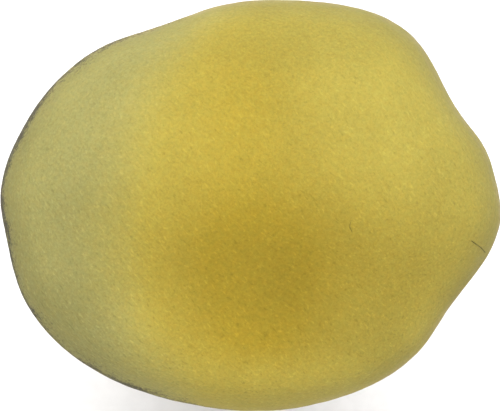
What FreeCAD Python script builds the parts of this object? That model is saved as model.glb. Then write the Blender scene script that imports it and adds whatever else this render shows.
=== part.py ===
import FreeCAD, Part
import math
import os

# A sponge brush for dabbing and stippling paint. A thick sheet of soft foam is drawn over a dome of firm foam
# on a wooden mushroom-shaped former, gathered round the former's stem and bound there with twine. Its edge is
# tucked into a sheet-metal ferrule, which is pinned to the tenon of a turned wooden handle.
#
# Millimetres. +Z is up, along the handle's axis. The origin is the centre of the flat foot that the handle
# stands on, so the foam is at the top. +X is along the longer side of the oval head.

# ---- Driving dimensions ----

# Handle
FOOT_RADIUS = 18.5
FOOT_CHAMFER = 1.2
BULB_RADIUS = 20.3
BULB_Z = 19.0
HIP_RADIUS = 16.6
HIP_Z = 41.0
WAIST_RADIUS = 13.0
WAIST_Z = 63.0
SHOULDER_RADIUS = 18.6
SHOULDER_Z = 88.0
SHOULDER_EDGE = 1.2
TENON_TOP_Z = 104.0
GROOVE_DEPTH = 0.7
GROOVE_ZS = (6.5, 35.0, 37.6, 80.6)
HANG_HOLE_RADIUS = 3.0
HANG_HOLE_CHAMFER = 0.8

# Ferrule and its pins
FERRULE_RADIUS = 17.2
FERRULE_WALL = 0.6
FERRULE_TOP_Z = 115.0
BEAD_HEIGHT = 0.8
BEAD_HALF_WIDTH = 1.5
BEAD_ZS = (92.4, 109.6)
RIM_RADIUS = 0.75
PIN_COUNT = 4
PIN_FIRST_ANGLE = 25.0
PIN_Z = 98.4
PIN_SHANK_RADIUS = 0.8
PIN_LENGTH = 9.0
PIN_POINT_LENGTH = 2.0
PIN_HEAD_RADIUS = 2.0
PIN_HEAD_HEIGHT = 0.9

# Former
STEM_RADIUS = 8.0
DISC_RADIUS = 20.0
DISC_UNDER_Z = 123.0
DISC_EDGE_Z = 130.0
DISC_TOP_Z = 136.0
RECESS_RADIUS = 6.8
RECESS_DEPTH = 2.6

# Washer and screw
WASHER_RADIUS = 6.5
WASHER_THICKNESS = 1.2
SCREW_SHANK_RADIUS = 2.2
SCREW_ROOT_RADIUS = 1.6
SCREW_HEAD_RADIUS = 4.0
SCREW_HEAD_LAND = 0.4
SCREW_SLOT = 1.0
SCREW_THREAD_TOP_Z = 108.0
SCREW_TIP_Z = 88.5
SCREW_POINT_LENGTH = 4.0
THREAD_PITCH = 1.8

# Core pad of firm foam
CORE_RADIUS = 24.0
CORE_UNDER_Z = 128.0
CORE_SIDE_Z = 140.0
CORE_TOP_Z = 151.0

# Foam head and the twine round its neck
NECK_CLEARANCE = 0.1
BOUND_RADIUS = 13.4
BINDING_TURNS = 4
TWINE_RADIUS = 0.7
BINDING_BOTTOM_Z = 116.3
HEAD_WIDEST_Z = 143.0
HEAD_TOP_Z = 166.0
DOME_POWER = 2.5
CROWN_SHIFT = (3.0, 2.0)

# The head's outline from above: direction from the axis in degrees, and distance from it. Four shallow
# notches, where deep gathers reach the rim, part it into lobes.
OUTLINE = (
    (0, 40.0), (6, 39.4), (14, 38.6), (24, 36.6), (35, 36.7), (47, 37.4), (60, 36.1),
    (77, 33.6), (97, 32.3), (115, 31.9), (132, 34.4), (150, 37.0), (166, 38.9), (178, 40.0),
    (188, 39.3), (202, 39.0), (220, 37.2), (242, 34.2), (268, 32.9), (290, 33.5), (310, 35.3),
    (322, 35.9), (332, 35.9), (342, 37.6), (352, 39.6),
)

# ---- Sizes that follow from them ----

TENON_RADIUS = FERRULE_RADIUS - FERRULE_WALL
NECK_RADIUS = TENON_RADIUS - NECK_CLEARANCE
NECK_BOTTOM_Z = TENON_TOP_Z + NECK_CLEARANCE
BINDING_TOP_Z = BINDING_BOTTOM_Z + 2 * TWINE_RADIUS * BINDING_TURNS
WASHER_BOTTOM_Z = DISC_TOP_Z - RECESS_DEPTH
WASHER_TOP_Z = WASHER_BOTTOM_Z + WASHER_THICKNESS
SCREW_CONE_TOP_Z = WASHER_BOTTOM_Z + SCREW_HEAD_RADIUS - SCREW_SHANK_RADIUS
SCREW_TOP_Z = SCREW_CONE_TOP_Z + SCREW_HEAD_LAND

# ---- Helpers ----

ORIGIN = FreeCAD.Vector(0, 0, 0)
X_AXIS = FreeCAD.Vector(1, 0, 0)
Y_AXIS = FreeCAD.Vector(0, 1, 0)
Z_AXIS = FreeCAD.Vector(0, 0, 1)


def place(point):
    """A (radius, z) pair as a point or direction in the XZ plane."""
    return FreeCAD.Vector(point[0], 0, point[1])


def line(start, end):
    """A straight edge between two (radius, z) points."""
    return Part.LineSegment(place(start), place(end)).toShape()


def arc(start, middle, end):
    """A round edge through three (radius, z) points."""
    return Part.Arc(place(start), place(middle), place(end)).toShape()


def cap(rim, top_z):
    """The edge of a spherical cap, from its rim at (radius, z) up to the axis."""
    radius, z = rim
    height = top_z - z
    sphere_radius = (radius**2 + height**2) / (2 * height)
    half_angle = math.asin(radius / sphere_radius) / 2
    drop = sphere_radius * (1 - math.cos(half_angle))
    return arc(rim, (sphere_radius * math.sin(half_angle), top_z - drop), (0, top_z))


def curve(points, start_tangent, end_tangent):
    """A smooth edge through (radius, z) points, with the directions that it leaves and arrives in."""
    spline = Part.BSplineCurve()
    spline.interpolate(
        Points=[place(point) for point in points],
        InitialTangent=place(start_tangent),
        FinalTangent=place(end_tangent),
    )
    return spline.toShape()


def straight_edges(points):
    return [line(start, end) for start, end in zip(points, points[1:])]


def turned(edges):
    """The solid that a closed run of edges makes when it is turned about Z."""
    return Part.Face(Part.Wire(edges)).revolve(ORIGIN, Z_AXIS, 360)


def turned_outline(points):
    """The same, for an outline of straight sides given as (radius, z) points."""
    return turned(straight_edges(points + points[:1]))


# ---- Wooden handle ----


def handle():
    """A flat foot, a bulb for the palm, a waist for the fingers, and a shoulder with the tenon above it."""
    shoulder_start = (SHOULDER_RADIUS, SHOULDER_Z - 3 * SHOULDER_EDGE)
    side = curve(
        [
            (FOOT_RADIUS, FOOT_CHAMFER),
            (BULB_RADIUS, BULB_Z),
            (HIP_RADIUS, HIP_Z),
            (WAIST_RADIUS, WAIST_Z),
            shoulder_start,
        ],
        start_tangent=(0.2, 1.0),
        end_tangent=(0.25, 1.0),
    )
    shoulder = arc(
        shoulder_start,
        (SHOULDER_RADIUS - 0.1 * SHOULDER_EDGE, SHOULDER_Z - SHOULDER_EDGE),
        (SHOULDER_RADIUS - SHOULDER_EDGE, SHOULDER_Z),
    )
    foot = straight_edges([(0, 0), (FOOT_RADIUS - FOOT_CHAMFER, 0), (FOOT_RADIUS, FOOT_CHAMFER)])
    tenon = straight_edges(
        [
            (SHOULDER_RADIUS - SHOULDER_EDGE, SHOULDER_Z),
            (TENON_RADIUS, SHOULDER_Z),
            (TENON_RADIUS, TENON_TOP_Z),
            (0, TENON_TOP_Z),
            (0, 0),
        ]
    )
    body = turned(foot + [side, shoulder] + tenon)
    for z in GROOVE_ZS:
        body = body.cut(lathe_groove(body, z))
    for tool in (hang_hole(), pilot_hole(), ferrule_pins()):
        body = body.cut(tool)
    return body


def lathe_groove(body, z):
    """The V-shaped ring that takes GROOVE_DEPTH off the turned body at this height."""
    bottom = body.slice(Z_AXIS, z)[0].BoundBox.XMax - GROOVE_DEPTH
    reach = 3 * GROOVE_DEPTH
    return turned_outline([(bottom, z), (bottom + reach, z - reach), (bottom + reach, z + reach)])


def hang_hole():
    """The hole across the bulb, with a chamfer at both mouths."""
    reach = 2 * BULB_RADIUS
    hole = Part.makeCylinder(HANG_HOLE_RADIUS, 2 * reach, FreeCAD.Vector(0, -reach, BULB_Z), Y_AXIS)
    height = 4 * HANG_HOLE_CHAMFER
    for way in (-1, 1):
        mouth = FreeCAD.Vector(0, way * (BULB_RADIUS - HANG_HOLE_CHAMFER), BULB_Z)
        cone = Part.makeCone(HANG_HOLE_RADIUS, HANG_HOLE_RADIUS + height, height, mouth, Y_AXIS * way)
        hole = hole.fuse(cone)
    return hole


# ---- Ferrule and pins ----


def ferrule():
    """A tube with two swaged beads and a rolled top rim."""
    rim_z = FERRULE_TOP_Z - RIM_RADIUS
    ends = [line((TENON_RADIUS, z), (FERRULE_RADIUS, z)) for z in (SHOULDER_Z, rim_z)]
    outline = Part.__sortEdges__(ferrule_side(FERRULE_RADIUS) + ferrule_side(TENON_RADIUS) + ends)
    rim = Part.makeTorus(FERRULE_RADIUS, RIM_RADIUS, FreeCAD.Vector(0, 0, rim_z))
    return turned(outline).fuse(rim).removeSplitter().cut(ferrule_pins())


def ferrule_side(radius):
    """One side of the sheet, from the bottom up, with an arc for each bead."""
    edges = []
    z = SHOULDER_Z
    for bead_z in BEAD_ZS:
        start = (radius, bead_z - BEAD_HALF_WIDTH)
        end = (radius, bead_z + BEAD_HALF_WIDTH)
        edges += [line((radius, z), start), arc(start, (radius + BEAD_HEIGHT, bead_z), end)]
        z = end[1]
    edges.append(line((radius, z), (radius, FERRULE_TOP_Z - RIM_RADIUS)))
    return edges


def ferrule_pins():
    """Domed brads driven through the ferrule into the tenon."""
    point = FERRULE_RADIUS - PIN_LENGTH
    crown = FERRULE_RADIUS + PIN_HEAD_HEIGHT
    profile = straight_edges(
        [
            (0, point),
            (PIN_SHANK_RADIUS, point + PIN_POINT_LENGTH),
            (PIN_SHANK_RADIUS, FERRULE_RADIUS),
            (PIN_HEAD_RADIUS, FERRULE_RADIUS),
        ]
    )
    profile += [cap((PIN_HEAD_RADIUS, FERRULE_RADIUS), crown), line((0, crown), (0, point))]
    upright = turned(profile)
    upright.rotate(ORIGIN, Y_AXIS, 90)
    upright.translate(FreeCAD.Vector(0, 0, PIN_Z))
    pins = []
    for number in range(PIN_COUNT):
        pin = upright.copy()
        pin.rotate(ORIGIN, Z_AXIS, PIN_FIRST_ANGLE + 360.0 * number / PIN_COUNT)
        pins.append(pin)
    return Part.Compound(pins)


# ---- Former, washer and screw ----


def former_blank():
    """The mushroom before it is bored: a stem on the tenon, a flared neck and a domed disc."""
    flare = 4.0
    lip = 1.2
    neck = arc(
        (STEM_RADIUS, DISC_UNDER_Z - flare + 1),
        (STEM_RADIUS + 0.3 * flare, DISC_UNDER_Z - 0.6),
        (STEM_RADIUS + flare, DISC_UNDER_Z + 0.6),
    )
    edge = arc(
        (DISC_RADIUS - lip, DISC_EDGE_Z - 2 * lip),
        (DISC_RADIUS, DISC_EDGE_Z - lip),
        (DISC_RADIUS - lip, DISC_EDGE_Z),
    )
    return turned(
        [
            line((0, TENON_TOP_Z), (STEM_RADIUS, TENON_TOP_Z)),
            line((STEM_RADIUS, TENON_TOP_Z), (STEM_RADIUS, DISC_UNDER_Z - flare + 1)),
            neck,
            line((STEM_RADIUS + flare, DISC_UNDER_Z + 0.6), (DISC_RADIUS - lip, DISC_EDGE_Z - 2 * lip)),
            edge,
            cap((DISC_RADIUS - lip, DISC_EDGE_Z), DISC_TOP_Z),
            line((0, DISC_TOP_Z), (0, TENON_TOP_Z)),
        ]
    )


def head_former():
    recess = Part.makeCylinder(RECESS_RADIUS, RECESS_DEPTH + 1, FreeCAD.Vector(0, 0, WASHER_BOTTOM_Z))
    return former_blank().cut(recess).cut(pilot_hole())


def former_washer():
    """A ring with a 90 degree countersink, in which the screw's head sits."""
    return turned_outline(
        [
            (SCREW_SHANK_RADIUS, WASHER_BOTTOM_Z),
            (WASHER_RADIUS, WASHER_BOTTOM_Z),
            (WASHER_RADIUS, WASHER_TOP_Z),
            (SCREW_SHANK_RADIUS + WASHER_THICKNESS, WASHER_TOP_Z),
        ]
    )


def former_screw():
    """A slotted countersunk screw, with its thread as closed ridges."""
    profile = [
        (0, SCREW_TOP_Z),
        (SCREW_HEAD_RADIUS, SCREW_TOP_Z),
        (SCREW_HEAD_RADIUS, SCREW_CONE_TOP_Z),
        (SCREW_SHANK_RADIUS, WASHER_BOTTOM_Z),
    ]
    threaded_length = SCREW_THREAD_TOP_Z - SCREW_TIP_Z - SCREW_POINT_LENGTH
    for ridge in range(int(threaded_length / THREAD_PITCH)):
        crest_z = SCREW_THREAD_TOP_Z - ridge * THREAD_PITCH
        profile += [
            (SCREW_SHANK_RADIUS, crest_z),
            (SCREW_ROOT_RADIUS, crest_z - 0.3 * THREAD_PITCH),
            (SCREW_ROOT_RADIUS, crest_z - 0.7 * THREAD_PITCH),
        ]
    profile.append((0, SCREW_TIP_Z))
    half = SCREW_HEAD_RADIUS + 1
    slot = Part.makeBox(
        2 * half, SCREW_SLOT, SCREW_SLOT + 1, FreeCAD.Vector(-half, -SCREW_SLOT / 2, SCREW_TOP_Z - SCREW_SLOT)
    )
    return turned_outline(profile).cut(slot)


def pilot_hole():
    """The hole that the screw's shank fills in the former and in the tenon."""
    return turned_outline(
        [
            (0, DISC_TOP_Z + 1),
            (SCREW_SHANK_RADIUS, DISC_TOP_Z + 1),
            (SCREW_SHANK_RADIUS, SCREW_TIP_Z + SCREW_POINT_LENGTH),
            (0, SCREW_TIP_Z),
        ]
    )


# ---- Core pad ----


def core_blank():
    """The dome of firm foam before it is hollowed for the former's disc."""
    corner = 3.0
    under = arc(
        (CORE_RADIUS - corner, CORE_UNDER_Z),
        (CORE_RADIUS - 0.3 * corner, CORE_UNDER_Z + 0.3 * corner),
        (CORE_RADIUS, CORE_UNDER_Z + corner),
    )
    dome = curve(
        [(CORE_RADIUS, CORE_SIDE_Z), (CORE_RADIUS * 0.72, CORE_TOP_Z - 3.6), (0, CORE_TOP_Z)],
        start_tangent=(0, 1),
        end_tangent=(-1, 0),
    )
    return turned(
        [
            line((0, CORE_UNDER_Z), (CORE_RADIUS - corner, CORE_UNDER_Z)),
            under,
            line((CORE_RADIUS, CORE_UNDER_Z + corner), (CORE_RADIUS, CORE_SIDE_Z)),
            dome,
            line((0, CORE_TOP_Z), (0, CORE_UNDER_Z)),
        ]
    )


def core_pad():
    return core_blank().cut(former_blank())


# ---- Foam head and its binding ----


def section(radius_of, centre, z):
    """A closed smooth curve at this height, with one point in each direction of OUTLINE."""
    points = []
    for degrees, rim in OUTLINE:
        angle = math.radians(degrees)
        offset = FreeCAD.Vector(math.cos(angle), math.sin(angle), 0) * radius_of(rim)
        points.append(FreeCAD.Vector(centre[0], centre[1], z) + offset)
    spline = Part.BSplineCurve()
    spline.interpolate(Points=points, PeriodicFlag=True)
    return Part.Wire(spline.toShape())


def bezier(t, start, first, second, end):
    u = 1 - t
    return u**3 * start + 3 * u * u * t * first + 3 * u * t * t * second + t**3 * end


def gathered_sections():
    """The underside, from the bound neck out to the widest level."""
    height = HEAD_WIDEST_Z - BINDING_TOP_Z
    wires = []
    for t in (0.0, 0.14, 0.3, 0.48, 0.67, 0.85):
        spread = bezier(t, 0.0, 0.42, 1.02, 1.0)
        z = BINDING_TOP_Z + height * bezier(t, 0.0, 0.16, 0.5, 1.0)

        def reach(rim, share=spread):
            return BOUND_RADIUS + share * (rim - BOUND_RADIUS)

        wires.append(section(reach, (0, 0), z))
    return wires


def dome_sections():
    """The working face, from the widest level up to a small flat crown that stands a little off the axis."""
    height = HEAD_TOP_Z - HEAD_WIDEST_Z
    crown_degrees = 80
    full_height = math.sin(math.radians(crown_degrees)) ** (2 / DOME_POWER)
    wires = []
    for degrees in (0, 16, 32, 47, 60, 71, crown_degrees):
        angle = math.radians(degrees)
        share = math.cos(angle) ** (2 / DOME_POWER)
        z = HEAD_WIDEST_Z + height * math.sin(angle) ** (2 / DOME_POWER) / full_height
        centre = [shift * (1 - share) for shift in CROWN_SHIFT]
        wires.append(section(lambda rim, part=share: rim * part, centre, z))
    return wires


def foam_head():
    """The foam above the binding, hollow for the core and the former."""
    mushroom = Part.makeLoft(gathered_sections() + dome_sections(), True, False)
    return mushroom.cut(former_blank().fuse(core_blank()))


def foam_skirt():
    """The gathered edge of the same sheet: bound on to the stem, and tucked into the ferrule below."""
    neck = turned_outline(
        [
            (0, NECK_BOTTOM_Z),
            (NECK_RADIUS, NECK_BOTTOM_Z),
            (NECK_RADIUS, FERRULE_TOP_Z - 2 * RIM_RADIUS),
            (BOUND_RADIUS, BINDING_BOTTOM_Z),
            (BOUND_RADIUS, BINDING_TOP_Z),
            (0, BINDING_TOP_Z),
        ]
    )
    return neck.cut(former_blank())


def neck_binding():
    """The turns of twine that squeeze the gathered foam on to the stem, each as a closed ring."""
    turns = []
    for number in range(BINDING_TURNS):
        centre = FreeCAD.Vector(0, 0, BINDING_BOTTOM_Z + TWINE_RADIUS * (2 * number + 1))
        turns.append(Part.makeTorus(BOUND_RADIUS + TWINE_RADIUS, TWINE_RADIUS, centre))
    return Part.Compound(turns)


# ---- Export ----

NODES = (
    handle,
    ferrule,
    ferrule_pins,
    head_former,
    former_washer,
    former_screw,
    core_pad,
    foam_head,
    foam_skirt,
    neck_binding,
)

os.makedirs("parts", exist_ok=True)
for make_node in NODES:
    shape = make_node()
    name = make_node.__name__
    print(name, len(shape.Solids), "solids, valid", shape.isValid(), "volume", round(shape.Volume), "mm3")
    shape.exportStep(os.path.join("parts", name + ".step"))
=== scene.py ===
import math

import bpy
import numpy as np
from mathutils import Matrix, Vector, noise


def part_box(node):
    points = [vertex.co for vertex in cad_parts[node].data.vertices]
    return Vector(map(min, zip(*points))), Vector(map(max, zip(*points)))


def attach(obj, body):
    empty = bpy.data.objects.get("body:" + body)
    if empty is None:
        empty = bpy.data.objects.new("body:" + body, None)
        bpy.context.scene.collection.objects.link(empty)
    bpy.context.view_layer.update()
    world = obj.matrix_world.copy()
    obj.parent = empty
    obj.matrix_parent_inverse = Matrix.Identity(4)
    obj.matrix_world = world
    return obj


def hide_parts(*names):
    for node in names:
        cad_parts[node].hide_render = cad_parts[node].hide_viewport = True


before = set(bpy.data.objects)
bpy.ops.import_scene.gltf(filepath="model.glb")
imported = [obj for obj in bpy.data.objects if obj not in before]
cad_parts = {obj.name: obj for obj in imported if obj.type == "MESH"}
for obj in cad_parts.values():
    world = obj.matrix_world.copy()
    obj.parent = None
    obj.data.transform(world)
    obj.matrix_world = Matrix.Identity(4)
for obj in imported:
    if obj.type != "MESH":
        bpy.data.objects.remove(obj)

# A foam sponge brush that stands on its handle, seen from straight above its foam face. Mesh code
# works in millimetres, and MM turns them into Blender's metres; node materials work in metres.
# Sizes come from the CAD nodes. The places of the marks on the foam are measured from the axis.

MM = 0.001
FULL_TURN = 2 * math.pi
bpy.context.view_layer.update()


# ---- Shapes read from the CAD nodes ----

# How far the foam stands clear of the parts that fill its hollow, and the levels it is read at.
HOLLOW_GAP = 0.2
HOLLOW_LEVELS = 130


def node_box(name):
    """A CAD node's lowest and highest corners as arrays, in millimetres."""
    low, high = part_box(name)
    return np.array(low) / MM, np.array(high) / MM


def node_radius(name):
    low, high = node_box(name)
    return (high[0] - low[0]) / 2


def vertex_array(mesh):
    flat = np.empty(len(mesh.vertices) * 3)
    mesh.vertices.foreach_get("co", flat)
    return flat.reshape(-1, 3) / MM


def widest_level():
    """The height, in millimetres, at which the CAD head reaches farthest from the axis."""
    points = vertex_array(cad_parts["foam_head"].data)
    return float(points[np.argmax(np.hypot(points[:, 0], points[:, 1])), 2])


def crossings(node, level):
    """Directions, in degrees, and reaches of the points where a node's edges cross one height."""
    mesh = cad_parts[node].data
    points = vertex_array(mesh)
    ends = np.empty(len(mesh.edges) * 2, dtype=np.int32)
    mesh.edges.foreach_get("vertices", ends)
    first, second = points[ends[0::2]], points[ends[1::2]]
    crosses = (first[:, 2] - level) * (second[:, 2] - level) < 0
    first, second = first[crosses], second[crosses]
    share = (level - first[:, 2]) / (second[:, 2] - first[:, 2])
    found = first + share[:, None] * (second - first)
    direction = np.degrees(np.arctan2(found[:, 1], found[:, 0])) % 360
    return direction, np.hypot(found[:, 0], found[:, 1])


def read_outline(level):
    """Directions, in degrees and in order, and how far the CAD head's skin reaches in each."""
    direction, reach = crossings("foam_head", level)
    outside = reach > 0.75 * reach.max()
    order = np.argsort(direction[outside])
    return direction[outside][order], reach[outside][order]


def read_hollow():
    """Heights and radii of the hollow that the core pad and the former's stem and disc fill."""
    heights = np.linspace(SKIRT_LOW[2], CORE_HIGH[2] - 0.02, HOLLOW_LEVELS)
    fills = ("core_pad", "head_former")
    radii = []
    for height in heights:
        reaches = [crossings(node, height)[1].max(initial=0.0) for node in fills]
        radii.append(max(reaches) + HOLLOW_GAP)
    return heights, np.array(radii)


HEAD_LOW, HEAD_HIGH = node_box("foam_head")
SKIRT_LOW, SKIRT_HIGH = node_box("foam_skirt")
BINDING_LOW, BINDING_HIGH = node_box("neck_binding")
FERRULE_HIGH = node_box("ferrule")[1]
CORE_HIGH = node_box("core_pad")[1]
# An edge has to cross a height to be found, so heights are read just below a ring of vertices.
WIDEST_Z = widest_level()
OUTLINE = read_outline(WIDEST_Z - 0.01)
HOLLOW = read_hollow()


def outline_radius(angles):
    """How far the CAD head reaches from the axis in each direction, given in radians."""
    return np.interp(np.degrees(angles) % 360, *OUTLINE, period=360)


# ---- Camera and light ----

CAMERA_DISTANCE = 1.1
SENSOR_WIDTH = 36.0
FILL_AIM = (0.0, 0.0, 0.14)
ROOM_COLOUR = (1.0, 0.995, 0.98, 1.0)
# The room dims while the upward part of a direction goes from the first of these to the second.
ROOM_FADE = (0.05, 0.6)


def add_camera():
    """Straight above the head, so that the widest outline just fills the frame's width."""
    data = bpy.data.cameras.new("camera")
    data.sensor_width = SENSOR_WIDTH
    data.lens = SENSOR_WIDTH * CAMERA_DISTANCE / ((HEAD_HIGH[0] - HEAD_LOW[0]) * MM)
    data.clip_start, data.clip_end = 0.1, 100.0
    camera = bpy.data.objects.new("camera", data)
    middle = (HEAD_LOW + HEAD_HIGH) / 2 * MM
    camera.location = (middle[0], middle[1], WIDEST_Z * MM + CAMERA_DISTANCE)
    bpy.context.collection.objects.link(camera)
    bpy.context.scene.camera = camera


def add_light(name, kind, direction, power):
    """A light that shines from the given direction, and its data."""
    data = bpy.data.lights.new(name, kind)
    data.energy = power
    light = bpy.data.objects.new(name, data)
    light.rotation_mode = "QUATERNION"
    light.rotation_quaternion = direction.to_track_quat("Z", "Y")
    bpy.context.collection.objects.link(light)
    return light, data


def add_key(place, power, spread):
    """A soft key light from the direction of place, as wide as the given degrees."""
    data = add_light("key", "SUN", Vector(place), power)[1]
    data.angle = math.radians(spread)


def add_fill(place, size, power):
    """A square soft box that faces the head."""
    light, data = add_light("fill", "AREA", Vector(place) - Vector(FILL_AIM), power)
    data.shape = "SQUARE"
    data.size = size
    light.location = place
    light.visible_camera = False


def add_room(horizon, overhead):
    """A plain room, bright along the horizon and dimmer overhead."""
    world = bpy.data.worlds.new("studio")
    world.use_nodes = True
    tree = world.node_tree
    direction = tree.nodes.new("ShaderNodeTexCoord")
    parts = tree.nodes.new("ShaderNodeSeparateXYZ")
    fade = tree.nodes.new("ShaderNodeMapRange")
    fade.interpolation_type = "SMOOTHSTEP"
    names = ("From Min", "From Max", "To Min", "To Max")
    for name, value in zip(names, (*ROOM_FADE, horizon, overhead)):
        fade.inputs[name].default_value = value
    background = tree.nodes["Background"]
    tree.links.new(direction.outputs["Generated"], parts.inputs[0])
    tree.links.new(parts.outputs[2], fade.inputs["Value"])
    tree.links.new(fade.outputs["Result"], background.inputs["Strength"])
    background.inputs["Color"].default_value = ROOM_COLOUR
    bpy.context.scene.world = world


# ---- Material graphs ----


class Graph:
    """A short way to write a material's nodes."""

    def __init__(self, name):
        self.material = bpy.data.materials.new(name)
        self.material.use_nodes = True
        self.tree = self.material.node_tree
        self.shader = self.tree.nodes["Principled BSDF"]
        self.place = self.node("TexCoord").outputs["Object"]

    def feed(self, socket, value):
        if isinstance(value, bpy.types.NodeSocket):
            self.tree.links.new(value, socket)
        else:
            socket.default_value = value

    def node(self, kind, inputs=None, **settings):
        made = self.tree.nodes.new("ShaderNode" + kind)
        for key, value in settings.items():
            setattr(made, key, value)
        for key, value in (inputs or {}).items():
            self.feed(made.inputs[key], value)
        return made

    def shade(self, **inputs):
        """Sets the shader's own sockets: base_color means "Base Color"."""
        names = {socket.name.lower().replace(" ", "_"): socket for socket in self.shader.inputs}
        for key, value in inputs.items():
            self.feed(names[key], value)

    def math(self, operation, first, *others):
        """The operation on the first two values, then on its result and each further value."""
        for other in others:
            first = self.node("Math", {0: first, 1: other}, operation=operation).outputs[0]
        return first

    def vector_math(self, operation, first, second, output="Vector"):
        made = self.node("VectorMath", {0: first, 1: second}, operation=operation)
        return made.outputs[output]

    def coordinates(self, vector):
        """A vector's X, Y and Z."""
        return self.node("SeparateXYZ", {0: vector}).outputs

    def stretched(self, scale, turn=(0.0, 0.0, 0.0)):
        """The object's own coordinates, turned, then multiplied by scale along each axis."""
        inputs = {"Vector": self.place, "Rotation": turn}
        turned = self.node("VectorRotate", inputs, rotation_type="EULER_XYZ").outputs[0]
        return self.vector_math("MULTIPLY", turned, scale)

    def noise(self, vector, scale, detail=2.0, roughness=0.5):
        inputs = {"Vector": vector, "Scale": scale, "Detail": detail, "Roughness": roughness}
        return self.node("TexNoise", inputs).outputs["Fac"]

    def cells(self, vector, scale):
        """Distance from the nearest of many scattered points."""
        return self.node("TexVoronoi", {"Vector": vector, "Scale": scale}).outputs["Distance"]

    def ramp(self, value, low, high, to_low=0.0, to_high=1.0):
        """Value, from low to high, as a smooth step from to_low to to_high."""
        ends = {"From Min": low, "From Max": high, "To Min": to_low, "To Max": to_high}
        made = self.node("MapRange", {"Value": value, **ends}, interpolation_type="SMOOTHSTEP")
        return made.outputs["Result"]

    def mix(self, factor, first, second, blend="MIX"):
        made = self.node("Mix", data_type="RGBA", blend_type=blend)
        self.feed(made.inputs[0], factor)
        self.feed(made.inputs[6], first)
        self.feed(made.inputs[7], second)
        return made.outputs[2]

    def bump(self, height, distance, strength=1.0, normal=None):
        made = self.node("Bump", {"Height": height, "Distance": distance, "Strength": strength})
        if normal is not None:
            self.feed(made.inputs["Normal"], normal)
        return made.outputs["Normal"]

    def attribute(self, name):
        """A number that the mesh holds at each vertex."""
        return self.node("Attribute", attribute_name=name).outputs["Fac"]


# ---- Foam material ----

# Fine cuts in the foam's face: start and end from the axis, width and strength. The first two are
# one bent cut beside the nose, and the others are a faint crescent near the middle.
CUTS = (
    ((35.2, -5.7), (36.7, -6.7), 0.16, 1.0),
    ((36.7, -6.7), (37.5, -7.5), 0.18, 1.0),
    ((16.0, -2.4), (15.7, -3.3), 0.12, 0.55),
    ((15.7, -3.3), (16.1, -4.2), 0.16, 0.55),
)
GRAIN_TURN = math.radians(-42)
FOAM_LIT = (0.335, 0.285, 0.060, 1.0)
# A deeper yellow that also stands in for painted shade.
FOAM_DEEP_AND_SHADED = (0.262, 0.192, 0.020, 1.0)
# Pale foam, partly painted sheen.
FOAM_PALE_AND_SHEEN = (0.240, 0.230, 0.086, 1.0)
# Painted rim light.
FOAM_RIM_LIGHT = (0.36, 0.30, 0.155, 1.0)
# Painted shade in the cuts.
FOAM_CUT_SHADE = (0.09, 0.075, 0.02, 1.0)
WARM_TINT = (1.035, 0.985, 0.94, 1.0)
# Colours of the dark fringe along the left edge.
FRINGE_DARK = (0.028, 0.025, 0.016, 1.0)
FRINGE_PALE = (0.07, 0.062, 0.038, 1.0)
# The foam's brightness where each of these marks is at its fullest: painted shade, painted shade in
# the creases, and painted light.
FULL_MARKS = (("shade", 0.82), ("crease_shade", 0.84), ("lift", 1.15))


def thin_line(g, start, end, width):
    """1 on a line between two points, and 0 off it, on the upper side of the head only."""
    here = g.vector_math("MULTIPLY", g.place, (1.0, 1.0, 0.0))
    way = Vector((end[0] - start[0], end[1] - start[1], 0.0)) * MM
    from_start = g.vector_math("SUBTRACT", here, (start[0] * MM, start[1] * MM, 0.0))
    dot = g.vector_math("DOT_PRODUCT", from_start, tuple(way), "Value")
    share = g.node("Clamp", {"Value": g.math("DIVIDE", dot, way.length_squared)}).outputs[0]
    reached = g.node("VectorMath", {0: tuple(way), "Scale": share}, operation="SCALE").outputs[0]
    gap = g.vector_math("DISTANCE", from_start, reached, "Value")
    wander = g.math("MULTIPLY", g.noise(g.place, 1500), 0.0001)
    line = g.ramp(g.math("ADD", gap, wander), width * 0.35 * MM, width * MM, 1.0, 0.0)
    height = g.coordinates(g.place)[2]
    return g.math("MULTIPLY", line, g.math("GREATER_THAN", height, WIDEST_Z * MM))


def foam_brightness(g, cells, streaks, flecks):
    """The foam's brightness, about 1: its grain with painted glints and pore shade, then the
    painted shade and light that the mesh holds.
    """
    mottle = g.noise(g.place, 110, detail=4, roughness=0.6)
    painted_glints = g.ramp(flecks, 0.59, 0.75, 0.0, 0.15)
    painted_pore_shade = g.ramp(flecks, 0.39, 0.25, 0.0, 0.12)
    # Light flecks are painted glints and dark flecks painted shade in the pores, both stronger on
    # the lower half of the face.
    fleck_strength = g.ramp(g.coordinates(g.place)[1], -0.025, 0.025, 1.35, 0.8)
    grain = g.math(
        "MULTIPLY",
        g.ramp(cells, 0.28, 0.72, 0.88, 1.10),
        g.ramp(streaks, 0.3, 0.7, 0.965, 1.03),
        g.ramp(mottle, 0.3, 0.7, 0.97, 1.03),
    )
    glints_and_pore_shade = g.math("MULTIPLY", g.math("SUBTRACT", painted_glints, painted_pore_shade), fleck_strength)
    marks = [g.ramp(g.attribute(name), 0.0, 1.0, 1.0, full) for name, full in FULL_MARKS]
    return g.math("MULTIPLY", g.math("ADD", grain, glints_and_pore_shade), *marks)


def under_dark_fringe(g, colour, cells):
    """The colour under a dark fringe, speckled at its edge, where the mesh marks it."""
    dark_fringe = g.attribute("dark_fringe")
    specks = g.ramp(g.noise(g.place, 1900, detail=4, roughness=0.75), 0.32, 0.72, -0.35, 0.55)
    specks = g.math("MULTIPLY", specks, g.ramp(dark_fringe, 0.0, 0.2))
    cover = g.ramp(g.math("ADD", g.math("MULTIPLY", dark_fringe, 0.75), specks), 0.05, 0.9)
    fringe = g.mix(g.ramp(cells, 0.38, 0.62), FRINGE_DARK, FRINGE_PALE)
    return g.mix(g.math("MULTIPLY", cover, 0.95), colour, fringe)


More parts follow.
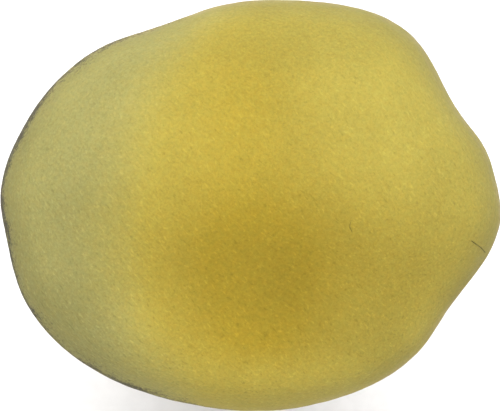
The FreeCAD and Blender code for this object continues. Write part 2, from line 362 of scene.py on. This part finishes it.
def foam_material():
    """Yellow sponge foam: fine cells, a velvety face, pale at the flank partly with painted sheen,
    painted shade and light, a painted rim light, and a dark fringe along one edge.
    """
    g = Graph("foam_yellow")
    drawn = g.stretched((1.0, 0.35, 1.0), turn=(0.0, 0.0, GRAIN_TURN))
    cells = g.noise(g.place, 2300, detail=5, roughness=0.72)
    streaks = g.noise(drawn, 1700, detail=2)
    flecks = g.noise(drawn, 2600, detail=1)
    # Deeper yellow mixed in where the mesh marks it, partly painted shade.
    colour = g.mix(g.attribute("deep_yellow_and_shade"), FOAM_LIT, FOAM_DEEP_AND_SHADED)
    # Pale colour on the left flank, with painted sheen towards the upper-right rim.
    colour = g.mix(g.attribute("pale_and_sheen"), colour, FOAM_PALE_AND_SHEEN)
    # Painted rim light along the upper-right edge.
    colour = g.mix(g.math("MULTIPLY", g.attribute("rim"), 0.6), colour, FOAM_RIM_LIGHT)
    bright = foam_brightness(g, cells, streaks, flecks)
    grey = g.node("CombineColor", {0: bright, 1: bright, 2: bright}).outputs[0]
    colour = g.mix(1.0, colour, grey, "MULTIPLY")
    tinted = g.mix(1.0, colour, WARM_TINT, "MULTIPLY")
    hue = g.noise(g.place, 1000, detail=3, roughness=0.6)
    colour = g.mix(g.ramp(hue, 0.35, 0.65), colour, tinted)
    colour = under_dark_fringe(g, colour, cells)

    cuts = [g.math("MULTIPLY", thin_line(g, *line), strength) for *line, strength in CUTS]
    cut = g.math("MAXIMUM", *cuts)
    broken = g.ramp(g.noise(g.place, 2600, detail=2), 0.38, 0.5, 0.35, 0.8)
    # The cuts are darkened with painted shade as well as dented by the bump.
    colour = g.mix(g.math("MULTIPLY", cut, broken), colour, FOAM_CUT_SHADE)
    normal = g.bump(g.math("MULTIPLY", cut, -1.0), 0.0002, 0.8)
    normal = g.bump(cells, 0.00012, 0.6, normal)
    normal = g.bump(streaks, 0.00010, 0.35, normal)
    g.shade(
        base_color=colour,
        roughness=g.ramp(cells, 0.3, 0.7, 0.88, 0.98),
        normal=normal,
        specular_ior_level=0.06,
        sheen_weight=0.04,
        sheen_roughness=0.45,
        sheen_tint=(1.0, 0.97, 0.93, 1.0),
        subsurface_weight=0.12,
        subsurface_radius=(0.9, 0.6, 0.15),
        subsurface_scale=0.0015,
    )
    return g.material


# ---- Other materials ----


def core_material():
    """Off-white firm foam with coarser cells."""
    g = Graph("foam_core")
    cells = g.cells(g.place, 1400)
    mottle = g.noise(g.place, 120, detail=4)
    colour = g.mix(g.ramp(mottle, 0.3, 0.7), (0.38, 0.38, 0.36, 1.0), (0.46, 0.45, 0.42, 1.0))
    colour = g.mix(g.ramp(cells, 0.1, 0.6, 0.35, 0.0), colour, (0.25, 0.25, 0.24, 1.0))
    normal = g.bump(cells, 0.0002)
    g.shade(base_color=colour, roughness=0.95, normal=normal, specular_ior_level=0.1)
    return g.material


def wood_material(name, light, dark, pore, rings_across, gloss, coat):
    """Turned wood: rings round a pith beside the axis, fibres along it, and short dark flecks."""
    g = Graph(name)
    wander = g.noise(g.stretched((1.0, 1.0, 0.12)), 28, detail=3)
    shifted = g.vector_math("ADD", g.stretched((1.0, 1.0, 0.06)), (0.031, 0.012, 0.0))
    parts = g.coordinates(shifted)
    flat = g.node("CombineXYZ", {0: parts[0], 1: parts[1], 2: 0.0}).outputs[0]
    radius = g.node("VectorMath", {0: flat}, operation="LENGTH").outputs["Value"]
    rings = g.math("ADD", g.math("MULTIPLY", radius, rings_across), g.math("MULTIPLY", wander, 2.6))
    saw = g.node("Math", {0: rings}, operation="FRACT").outputs[0]
    late_wood = g.math("MULTIPLY", g.ramp(saw, 0.45, 0.93), g.ramp(saw, 0.94, 1.0, 1.0, 0.0))
    fibres = g.noise(g.stretched((1.0, 1.0, 0.035)), 1500, detail=4, roughness=0.65)
    colour = g.mix(g.math("MULTIPLY", late_wood, 0.75), light, dark)
    colour = g.mix(g.ramp(fibres, 0.35, 0.75, 0.0, 0.35), colour, dark)
    flecks = g.ramp(g.cells(g.stretched((1.0, 1.0, 0.16)), 620), 0.05, 0.22, 1.0, 0.0)
    sparse = g.ramp(g.noise(g.stretched((1.0, 1.0, 0.3)), 210, detail=1), 0.45, 0.6)
    flecks = g.math("MULTIPLY", flecks, sparse)
    colour = g.mix(g.math("MULTIPLY", flecks, 0.6), colour, pore)
    clouds = g.noise(g.place, 45, detail=2)
    colour = g.mix(g.ramp(clouds, 0.35, 0.7, 0.0, 0.25), colour, dark)
    height = g.math("SUBTRACT", fibres, g.math("MULTIPLY", flecks, 0.8))
    handling = g.noise(g.place, 90, detail=3)
    g.shade(
        base_color=colour,
        roughness=g.ramp(handling, 0.3, 0.7, gloss - 0.06, gloss + 0.08),
        normal=g.bump(height, 0.00003, 0.5),
        specular_ior_level=0.45,
        coat_weight=coat,
        coat_roughness=0.16,
    )
    return g.material


def metal_material(name, bright, dull, roughness, scratch_scale):
    """Worn sheet metal: hair scratches round the axis, soft tarnish and small dings."""
    g = Graph(name)
    parts = g.coordinates(g.place)
    angle = g.math("ARCTAN2", parts[1], parts[0])
    inputs = {0: g.math("MULTIPLY", angle, 0.0012), 1: 0.0, 2: parts[2]}
    wrapped = g.node("CombineXYZ", inputs).outputs[0]
    scratches = g.noise(wrapped, scratch_scale, detail=5, roughness=0.7)
    tarnished = g.ramp(g.noise(g.place, 260, detail=6, roughness=0.7), 0.45, 0.75)
    colour = g.mix(g.math("MULTIPLY", tarnished, 0.4), bright, dull)
    spots = g.ramp(g.cells(g.place, 700), 0.03, 0.1, 0.35, 0.0)
    colour = g.mix(spots, colour, dull)
    scratched = g.ramp(scratches, 0.3, 0.7, roughness - 0.08, roughness + 0.1)
    rough = g.math("ADD", scratched, g.math("MULTIPLY", tarnished, 0.12))
    normal = g.bump(scratches, 0.00003, 0.35)
    normal = g.bump(g.noise(g.place, 260, detail=2), 0.0001, 0.25, normal)
    g.shade(base_color=colour, metallic=1.0, roughness=rough, normal=normal)
    return g.material


def twine_material():
    """Waxed linen twine with fine fibres along the strands."""
    g = Graph("twine")
    fibres = g.noise(g.stretched((1.0, 1.0, 0.5)), 5200, detail=4, roughness=0.7)
    blotches = g.noise(g.place, 240, detail=3)
    colour = g.mix(g.ramp(fibres, 0.3, 0.7), (0.20, 0.15, 0.085, 1.0), (0.40, 0.33, 0.21, 1.0))
    colour = g.mix(g.ramp(blotches, 0.45, 0.75, 0.0, 0.4), colour, (0.17, 0.12, 0.065, 1.0))
    g.shade(
        base_color=colour,
        roughness=0.75,
        normal=g.bump(fibres, 0.00008, 0.8),
        specular_ior_level=0.3,
        sheen_weight=0.25,
        sheen_roughness=0.5,
    )
    return g.material


def floor_material():
    g = Graph("floor")
    paper = g.noise(g.place, 400, detail=3)
    colour = g.mix(g.ramp(paper, 0.3, 0.7), (0.79, 0.79, 0.785, 1.0), (0.82, 0.82, 0.815, 1.0))
    g.shade(base_color=colour, roughness=0.9, specular_ior_level=0.1)
    return g.material


# ---- Mesh helpers ----


def smooth_step(value, low, high):
    share = np.clip((value - low) / (high - low), 0.0, 1.0)
    return share * share * (3 - 2 * share)


def bezier(t, first, second):
    """A cubic curve from 0 to 1 with two control values between them."""
    return 3 * (1 - t) ** 2 * t * first + 3 * (1 - t) * t**2 * second + t**3


def towards(angle, degrees):
    """The cosine between each angle and a direction: 1 along it and -1 against it."""
    return np.cos(angle - math.radians(degrees))


def mounds(plan, table):
    """The sum of bells at (x, y) points: each row is a height, a centre and the x and y widths."""
    total = np.zeros(len(plan))
    for height, centre, widths in table:
        gap = (plan - np.array(centre, float)) / np.array(widths, float)
        total += height * np.exp(-(gap**2).sum(axis=1) / 2)
    return total


def distance_from_line(plan, start, end):
    start, end = np.array(start, float), np.array(end, float)
    way = end - start
    share = np.clip((plan - start) @ way / (way @ way), 0, 1)
    gap = plan - (start + share[:, None] * way)
    return np.hypot(gap[:, 0], gap[:, 1])


SEED_STEP = 17.31


def noise_at(points, *layers):
    """The sum of smooth noises from -1 to 1: each layer is a size, a wavelength and a seed."""
    total = np.zeros(len(points))
    for size, wavelength, seed in layers:
        shifted = points / wavelength + seed * SEED_STEP
        total += size * np.array([noise.noise(point) for point in shifted.tolist()])
    return total


def add_object(name, mesh, material):
    made = bpy.data.objects.new(name, mesh)
    bpy.context.collection.objects.link(made)
    mesh.materials.clear()
    mesh.materials.append(material)
    mesh.shade_smooth()
    return made


def mesh_from(name, vertices, faces):
    """A mesh from an array of points in millimetres."""
    mesh = bpy.data.meshes.new(name)
    mesh.from_pydata((vertices * MM).tolist(), [], faces)
    mesh.update()
    return mesh


def normal_array(mesh):
    flat = np.empty(len(mesh.vertices) * 3)
    mesh.vertices.foreach_get("normal", flat)
    return flat.reshape(-1, 3)


def evened(mesh, voxel, smoothing):
    """A copy of a closed mesh, rebuilt with faces of one size, and relaxed."""
    holder = bpy.data.objects.new("holder", mesh)
    bpy.context.collection.objects.link(holder)
    remesh = holder.modifiers.new("remesh", "REMESH")
    remesh.mode = "VOXEL"
    remesh.voxel_size = voxel * MM
    relax = holder.modifiers.new("relax", "SMOOTH")
    relax.iterations = smoothing
    graph = bpy.context.evaluated_depsgraph_get()
    made = bpy.data.meshes.new_from_object(holder.evaluated_get(graph))
    bpy.data.objects.remove(holder)
    return made


def closed_grid(rows):
    """Faces over rings of points, closed by a point at either end."""
    count = len(rows[0])
    vertices = np.vstack([rows[0].mean(axis=0), *rows, rows[-1].mean(axis=0)])
    faces = [[0, 1 + (i + 1) % count, 1 + i] for i in range(count)]
    for row in range(len(rows) - 1):
        first, second = 1 + row * count, 1 + (row + 1) * count
        for i in range(count):
            j = (i + 1) % count
            faces.append([first + i, first + j, second + j, second + i])
    last = 1 + (len(rows) - 1) * count
    top = len(vertices) - 1
    faces += [[last + i, last + (i + 1) % count, top] for i in range(count)]
    return vertices, faces


# ---- Foam head ----

HEAD_SPOKES = 480
STRAIGHT_ROWS = 8
UNDERSIDE_ROWS = 70
DOME_ROWS = 105
HEAD_VOXEL = 0.57
HEAD_RELAXES = 3
# The least foam between the hollow and the skin, and how widely the skin rounds the core's corner.
LEAST_WALL = 1.4
CORNER_BLEND = 2.4
# The neck's foam lies a twine's thickness inside the binding, and the skirt starts to narrow a
# little below the ferrule's rim.
NECK_INSET = 1.4
SKIRT_DROP = 1.5
# Where the crown lies off the axis, and how square the dome's section is: 2 is an ellipse.
CROWN_SHIFT = np.array([3.0, 2.0])
DOME_POWER = 2.5

# The gathers, from the neck up: direction in degrees, depth as a share of the deepest, and how far
# each bends sideways, in degrees, on its way to the rim.
GATHERS = (
    (3, 0.55, 4), (27, 1.0, -3), (58, 0.6, 5), (88, 0.7, -4), (114, 0.95, 2), (142, 0.6, -5),
    (170, 0.75, 3), (199, 0.55, 4), (226, 0.7, -4), (251, 0.6, 3), (279, 0.8, -3), (304, 0.6, 2),
    (327, 1.0, 2),
)

# The working face above a plain dome: mounds, then ridges: a height, a start, an end and a width.
FACE_MOUNDS = (
    (0.8, (-14, 12), (9, 9)), (1.0, (20, 16), (9, 9)), (1.8, (-17, -22), (8, 7)),
    (-2.5, (3, -15), (13, 7)), (1.3, (3, -31), (24, 4)), (0.9, (1, -1), (15, 6)),
)
FACE_RIDGES = (
    (-0.4, (3, 27), (1, 2), 6.5), (-1.5, (12, -14), (36, -17), 6.5),
    (0.35, (-20, 19), (-25, 5), 3.5), (0.35, (-25, 5), (-25, -15), 3.5),
)

# Mounds over the head's plan: where the foam is a deeper yellow that is partly painted shade, then
# painted shade, then painted light.
DEEP_YELLOW_AND_SHADE = (
    (1.15, (1, -9), (14, 12)), (0.5, (-1, 17), (9, 9)), (0.12, (-1, 20), (6, 6)),
    (0.35, (1.5, -21.5), (8, 4)), (0.28, (27, -10), (8, 9)),
)
PAINTED_SHADE = (
    (0.35, (16, -6), (14, 8)), (0.65, (-25, -3), (9, 9)), (0.2, (2, -12), (12, 7)),
    (0.8, (-27, -20), (6, 6)), (0.65, (10, 26), (18, 5)), (0.8, (15, -20), (15, 6)),
    (0.2, (36, 2), (4, 10)), (0.35, (31, 5), (5, 6)),
)
PAINTED_LIGHT = (
    (0.6, (13.5, -12), (6, 5)), (0.6, (-3, 7.5), (6, 5)), (0.5, (16, -28), (8, 3)),
    (0.7, (30, -21), (4, 5)), (0.75, (1.5, -21.5), (7, 4)), (0.35, (-1, 20), (6, 6)),
    (0.5, (29, -21), (4, 4)), (0.6, (-20, -19), (7, 4)),
)


def face_relief(plan):
    """How far the working face stands above a plain dome, in millimetres, at (x, y) points."""
    height = mounds(plan, FACE_MOUNDS)
    for rise, start, end, width in FACE_RIDGES:
        height += rise * np.exp(-(distance_from_line(plan, start, end) ** 2) / (2 * width**2))
    return height


def least_radius(z):
    """The radius at which the skin is one least wall from the hollow, in any direction."""
    heights, radii = HOLLOW
    spare = LEAST_WALL**2 - (heights - z) ** 2
    near = spare > 0
    return (radii[near] + np.sqrt(spare[near])).max(initial=0.0)


def gathers(angles, spread, radius):
    """From 0 on a lobe to 1 at the bottom of a gather; spread is 0 at the neck, 1 at the rim.

    Gathers widen towards the rim.
    """
    total = np.zeros_like(angles)
    width = 0.9 + 2.4 * spread
    for degrees, depth, bend in GATHERS:
        middle = np.radians(degrees + bend * spread)
        gap = np.abs((angles - middle + math.pi) % FULL_TURN - math.pi) * radius
        total = np.maximum(total, depth / (1 + (gap / width) ** 2))
    return total


def gather_fade(z):
    """The gathers die out near the widest level, whose outline the CAD head already has."""
    return 1 - smooth_step(z, WIDEST_Z - 9, WIDEST_Z + 3)


def head_surface():
    """Rings of points from the top of the hollow down to the skirt, then outside to the crown."""
    angles = np.linspace(0, FULL_TURN, HEAD_SPOKES, endpoint=False)
    rim = outline_radius(angles)
    even = np.ones_like(rim)
    neck = node_radius("neck_binding") - NECK_INSET
    rows = []

    def add_ring(radius, z, centre=(0.0, 0.0)):
        x = centre[0] + radius * np.cos(angles)
        y = centre[1] + radius * np.sin(angles)
        rows.append(np.column_stack([x, y, np.full_like(x, z)]))

    def add_outside(radius, z, spread, centre=(0.0, 0.0)):
        """One ring of the skin, gathered most half-way up, and kept clear of the hollow."""
        depth = gathers(angles, spread, np.mean(radius))
        depth *= 0.9 + 1.9 * math.sin(math.pi * spread**0.8)
        fade = gather_fade(z)
        plain = radius - depth * fade
        least = least_radius(z)
        if least:
            blend = CORNER_BLEND * min(1.0, 4 * spread) * fade
            plain = (plain + least + np.hypot(plain - least, blend)) / 2
        add_ring(plain, z, centre)

    for z, radius in reversed(list(zip(*HOLLOW))):
        add_ring(even * radius, z)
    for z in np.linspace(SKIRT_LOW[2], FERRULE_HIGH[2] - SKIRT_DROP, STRAIGHT_ROWS):
        add_outside(even * SKIRT_HIGH[0], z, 0.0)
    for z in np.linspace(BINDING_LOW[2], BINDING_HIGH[2], STRAIGHT_ROWS):
        add_outside(even * neck, z, 0.0)
    rise = WIDEST_Z - BINDING_HIGH[2]
    for t in np.linspace(0, 1, UNDERSIDE_ROWS)[1:]:
        spread, lift = bezier(t, 0.42, 1.02), bezier(t, 0.16, 0.5)
        add_outside(neck + spread * (rim - neck), BINDING_HIGH[2] + lift * rise, t)
    dome = HEAD_HIGH[2] - WIDEST_Z
    for degrees in np.linspace(0, 89, DOME_ROWS)[1:]:
        share = math.cos(math.radians(degrees)) ** (2 / DOME_POWER)
        lift = math.sin(math.radians(degrees)) ** (2 / DOME_POWER)
        add_outside(rim * share, WIDEST_Z + dome * lift, 1.0, CROWN_SHIFT * (1 - share))
    return rows


def shape_skin(mesh):
    """Gives the face its relief and the skin an uneven swell, and returns the moved points."""
    points = vertex_array(mesh)
    normals = normal_array(mesh)
    hollow = np.interp(points[:, 2], *HOLLOW, right=-1.0)
    skin = smooth_step(np.hypot(points[:, 0], points[:, 1]) - hollow, 0.35, 0.6)
    facing = smooth_step(points[:, 2], WIDEST_Z + 4, WIDEST_Z + 16) * skin
    points[:, 2] += face_relief(points[:, :2]) * facing
    above_neck = smooth_step(points[:, 2], BINDING_HIGH[2] + 1, BINDING_HIGH[2] + 5)
    swell = 0.06 + noise_at(points, (0.28, 14, 1), (0.07, 3.5, 2), (0.03, 1.1, 3))
    points += normals * (swell * above_neck * skin)[:, None]
    mesh.vertices.foreach_set("co", (points * MM).ravel())
    mesh.update()
    return points


def skin_marks(points):
    """What the foam's material reads at each vertex, by name."""
    plan, z = points[:, :2], points[:, 2]
    angle = np.arctan2(plan[:, 1], plan[:, 0])
    radius = np.hypot(plan[:, 0], plan[:, 1])
    reach = radius / outline_radius(angle)
    edge = smooth_step(reach, 0.86, 1.0)
    upper_right = 0.5 + 0.5 * towards(angle, 40)

    # The pale flank on the left, partly a paler colour and partly painted sheen, has a curved and
    # uneven border.
    bend = np.maximum(plan[:, 1], 0) + np.maximum(-plan[:, 1] - 4, 0)
    border = -23.0 + 0.0153 * bend**2 + 1.2 * smooth_step(plan[:, 1], -2, 8)
    flank = smooth_step(border - plan[:, 0] + noise_at(points, (1.5, 9, 4)), -8, 7)
    # Painted sheen also pales the edge towards the upper right.
    pale_and_sheen = np.clip(0.85 * flank + 0.4 * edge * upper_right * (1 - flank), 0, 1)
    # Deeper yellow, partly painted shade on the middle and lower face.
    deep_yellow_and_shade = np.clip(mounds(plan, DEEP_YELLOW_AND_SHADE) * (1 - flank), 0, 1)

    # Painted shade: the mounds, and more towards the rim, most on the left and none at the bottom.
    not_below = 1 - smooth_step(0.5 + 0.5 * towards(angle, 280), 0.55, 1.0)
    leftwards = smooth_step(towards(angle, 200), 0.0, 0.8)
    shade = mounds(plan, PAINTED_SHADE) + edge * (0.3 + 0.5 * leftwards) * not_below
    # Painted light: the mounds, and the upper-left edge.
    lift = mounds(plan, PAINTED_LIGHT)
    lift += smooth_step(reach, 0.8, 0.98) * smooth_step(towards(angle, 125), 0.72, 0.97)

    # A pale line of painted rim light runs along the widest level on the upper right, broken by
    # noise.
    rim = smooth_step(reach, 0.962, 0.992) * smooth_step(upper_right, 0.15, 0.5)
    rim *= smooth_step(z, WIDEST_Z - 5, WIDEST_Z + 2)
    rim *= 1 - smooth_step(z, WIDEST_Z + 3, WIDEST_Z + 9)
    rim *= smooth_step(noise_at(points, (1.0, 5, 13), (0.6, 1.6, 14)), -0.7, 0.5)

    # A dark fringe lies along the left edge, ragged, patchy and darkest at the far left.
    ragged = reach + noise_at(points, (0.006, 2.0, 7), (0.008, 6.0, 8))
    ragged_z = z + noise_at(points, (3.0, 4.5, 9), (1.5, 1.5, 10))
    dark_fringe = 0.85 * smooth_step(ragged, 0.976, 0.994) + 0.2 * smooth_step(ragged, 0.92, 0.98)
    dark_fringe *= smooth_step(0.5 + 0.5 * towards(angle, 190), 0.5, 0.85)
    dark_fringe *= smooth_step(ragged_z, WIDEST_Z - 8, WIDEST_Z + 2.5)
    dark_fringe *= 0.5 + 0.5 * smooth_step(noise_at(points, (1.0, 5.0, 11), (0.6, 1.7, 12)), -0.4, 0.4)
    end = smooth_step(towards(angle, 172), 0.9, 1.0)
    end *= smooth_step(ragged_z, WIDEST_Z - 5, WIDEST_Z + 2)
    dark_fringe += 0.45 * end * smooth_step(ragged, 0.968, 0.99)

    # Painted shade in the gathers' creases.
    spread = smooth_step(z, BINDING_HIGH[2], WIDEST_Z)
    crease_shade = gathers(angle, spread, radius) * gather_fade(z)
    return {
        "crease_shade": crease_shade,
        "pale_and_sheen": pale_and_sheen,
        "deep_yellow_and_shade": deep_yellow_and_shade,
        "dark_fringe": dark_fringe,
        "shade": shade,
        "rim": rim,
        "lift": lift,
    }


def make_foam_head(material):
    """The head and its skirt as one piece of foam, hollow where the core and the former go."""
    rough = mesh_from("foam_rough", *closed_grid(head_surface()))
    mesh = evened(rough, HEAD_VOXEL, HEAD_RELAXES)
    for name, values in skin_marks(shape_skin(mesh)).items():
        layer = mesh.attributes.new(name, "FLOAT", "POINT")
        layer.data.foreach_set("value", values.astype(np.float32))
    head = add_object("sponge_head", mesh, material)
    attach(head, "root")
    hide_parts("foam_head", "foam_skirt")


# ---- Core pad ----

CORE_VOXEL = 0.7
CORE_RELAXES = 2


def make_core(material):
    """The CAD pad with an uneven surface, set in by 0.13 mm on average."""
    mesh = evened(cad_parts["core_pad"].data.copy(), CORE_VOXEL, CORE_RELAXES)
    points = vertex_array(mesh)
    inward = 0.12 + noise_at(points, (0.1, 1.6, 5), (0.1, 6, 6))
    points -= normal_array(mesh) * inward[:, None]
    mesh.vertices.foreach_set("co", (points * MM).ravel())
    core = add_object("core_foam", mesh, material)
    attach(core, "root")
    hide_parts("core_pad")


# ---- Twine ----

TWINE_RADIUS = 0.7
TWINE_PITCH = 1.4
PLY_RADIUS = 0.36
PLY_SIDES = 8
# A ply is a little thicker than it lies from the twine's middle, so that no gap is left there.
PLY_SWELL = 1.02
# The length of twine in which its plies go round each other once.
LAY_LENGTH = 3.4
STEPS_A_TURN = 260
# The parts of a turn that lie level, before the winding climbs and in all.
LEVEL_START = 0.28
LEVEL_TURNS = 0.55


def tube(path, radius, sides):
    """Vertices and faces of a closed tube along an array of points."""
    tangents = np.gradient(path, axis=0)
    tangents /= np.linalg.norm(tangents, axis=1)[:, None]
    across = np.cross(tangents, np.array([0.0, 0.0, 1.0]))
    across /= np.linalg.norm(across, axis=1)[:, None]
    over = np.cross(across, tangents)
    rings = []
    for i in range(sides):
        angle = FULL_TURN * i / sides
        rings.append(path + radius * (math.cos(angle) * across + math.sin(angle) * over))
    return closed_grid(list(np.stack(rings, axis=1)))


def make_twine(material):
    """Three-ply twine wound round the neck, its ends tucked under the turns."""
    climbing = (BINDING_HIGH[2] - BINDING_LOW[2] - 2 * TWINE_RADIUS) / TWINE_PITCH
    turns = climbing + LEVEL_TURNS
    middle = node_radius("neck_binding") - TWINE_RADIUS
    wound = np.linspace(0, turns * FULL_TURN, int(turns * STEPS_A_TURN))
    rise = np.clip(wound / FULL_TURN - LEVEL_START, 0, climbing) * TWINE_PITCH
    vertices, faces = [], []
    for strand in range(3):
        twist = wound * middle * FULL_TURN / LAY_LENGTH + strand * FULL_TURN / 3
        out = middle + PLY_RADIUS * np.cos(twist)
        z = BINDING_LOW[2] + TWINE_RADIUS + rise + PLY_RADIUS * np.sin(twist)
        path = np.column_stack([out * np.cos(wound), out * np.sin(wound), z])
        more_vertices, more_faces = tube(path, PLY_RADIUS * PLY_SWELL, PLY_SIDES)
        offset = sum(len(block) for block in vertices)
        vertices.append(more_vertices)
        faces += [[corner + offset for corner in face] for face in more_faces]
    mesh = mesh_from("binding_twine", np.vstack(vertices), faces)
    twine = add_object("binding_twine", mesh, material)
    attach(twine, "root")
    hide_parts("neck_binding")


# ---- Carried-over CAD nodes and the floor ----

FLOOR_SIZE = 60.0


def dress_nodes():
    """Gives each carried-over CAD node its material."""
    beech = wood_material(
        "beech_lacquered",
        light=(0.36, 0.165, 0.052, 1.0),
        dark=(0.21, 0.080, 0.022, 1.0),
        pore=(0.08, 0.028, 0.008, 1.0),
        rings_across=420,
        gloss=0.40,
        coat=0.5,
    )
    pine = wood_material(
        "former_wood",
        light=(0.40, 0.26, 0.13, 1.0),
        dark=(0.27, 0.15, 0.065, 1.0),
        pore=(0.15, 0.08, 0.03, 1.0),
        rings_across=260,
        gloss=0.7,
        coat=0.0,
    )
    tinplate = metal_material(
        "ferrule_metal",
        bright=(0.50, 0.495, 0.475, 1.0),
        dull=(0.22, 0.21, 0.185, 1.0),
        roughness=0.24,
        scratch_scale=9000,
    )
    brass = metal_material(
        "pin_brass",
        bright=(0.52, 0.34, 0.12, 1.0),
        dull=(0.24, 0.145, 0.05, 1.0),
        roughness=0.30,
        scratch_scale=6000,
    )
    steel = metal_material(
        "screw_steel",
        bright=(0.42, 0.41, 0.39, 1.0),
        dull=(0.22, 0.21, 0.19, 1.0),
        roughness=0.35,
        scratch_scale=7000,
    )
    finishes = {
        "handle": beech,
        "head_former": pine,
        "ferrule": tinplate,
        "ferrule_pins": brass,
        "former_washer": steel,
        "former_screw": steel,
    }
    for node, material in finishes.items():
        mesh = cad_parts[node].data
        mesh.materials.clear()
        mesh.materials.append(material)


def add_floor():
    half = FLOOR_SIZE / 2 / MM
    corners = np.array([[-half, -half, 0], [half, -half, 0], [half, half, 0], [-half, half, 0]])
    floor = add_object("floor", mesh_from("floor", corners, [[0, 1, 2, 3]]), floor_material())


add_camera()
add_room(horizon=1.0, overhead=0.42)
add_key((0.03, 0.42, 1.16), power=4.5, spread=36)
add_fill((-0.9, -0.7, 0.8), size=0.9, power=3.5)
bpy.context.scene.view_settings.view_transform = "Standard"
make_foam_head(foam_material())
make_core(core_material())
make_twine(twine_material())
dress_nodes()
add_floor()
